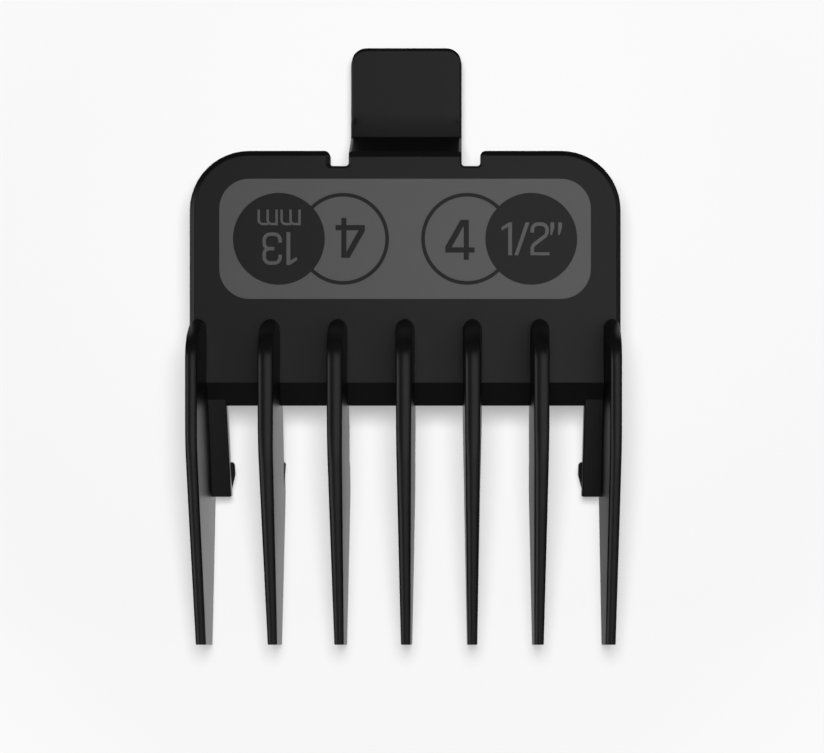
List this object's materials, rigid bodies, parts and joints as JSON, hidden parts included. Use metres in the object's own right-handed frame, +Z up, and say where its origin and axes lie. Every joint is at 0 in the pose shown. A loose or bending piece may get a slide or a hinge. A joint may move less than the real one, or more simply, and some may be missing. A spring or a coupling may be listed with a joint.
{
  "type": "hair clipper guide comb",
  "caption": "Clip-on guide comb for a hair clipper: a printed plate over the blade, tall rounded fins that set the cut length, side ledges with hooks, and a sprung latch.",
  "frame": {"origin": "under the middle of the comb's outer box, on the surface it stands on with its fins up", "axes": "+X across the comb, +Y from the fins' tips towards the latch's tab, +Z up out of the plate's printed face"},
  "size_m": [0.046, 0.0654, 0.0202],
  "materials": {
    "black_plastic": "satin moulded black",
    "grey_ink": "flat grey pad print"
  },
  "bodies": {
    "comb": {"comb_plate": "black_plastic", "tooth_1": "black_plastic", "tooth_2": "black_plastic", "tooth_3": "black_plastic", "tooth_4": "black_plastic", "tooth_5": "black_plastic", "tooth_6": "black_plastic", "tooth_7": "black_plastic", "left_ledge": "black_plastic", "right_ledge": "black_plastic", "left_hook": "black_plastic", "right_hook": "black_plastic", "blade_key": "black_plastic", "size_panel": "grey_ink", "metric_marks": "grey_ink", "inch_marks": "grey_ink"},
    "latch": {"latch_neck": "black_plastic", "latch_leg": "black_plastic", "release_tab": "black_plastic", "latch_catch": "black_plastic"}
  },
  "joints": [
    {"name": "latch_flex", "type": "hinge", "parent": "comb", "child": "latch", "pos_m": [0, 0.01902, 0.01125], "axis": [1, 0, 0], "range_deg": [0, 12], "stiffness_Nm_per_rad": 0.25}
  ]
}
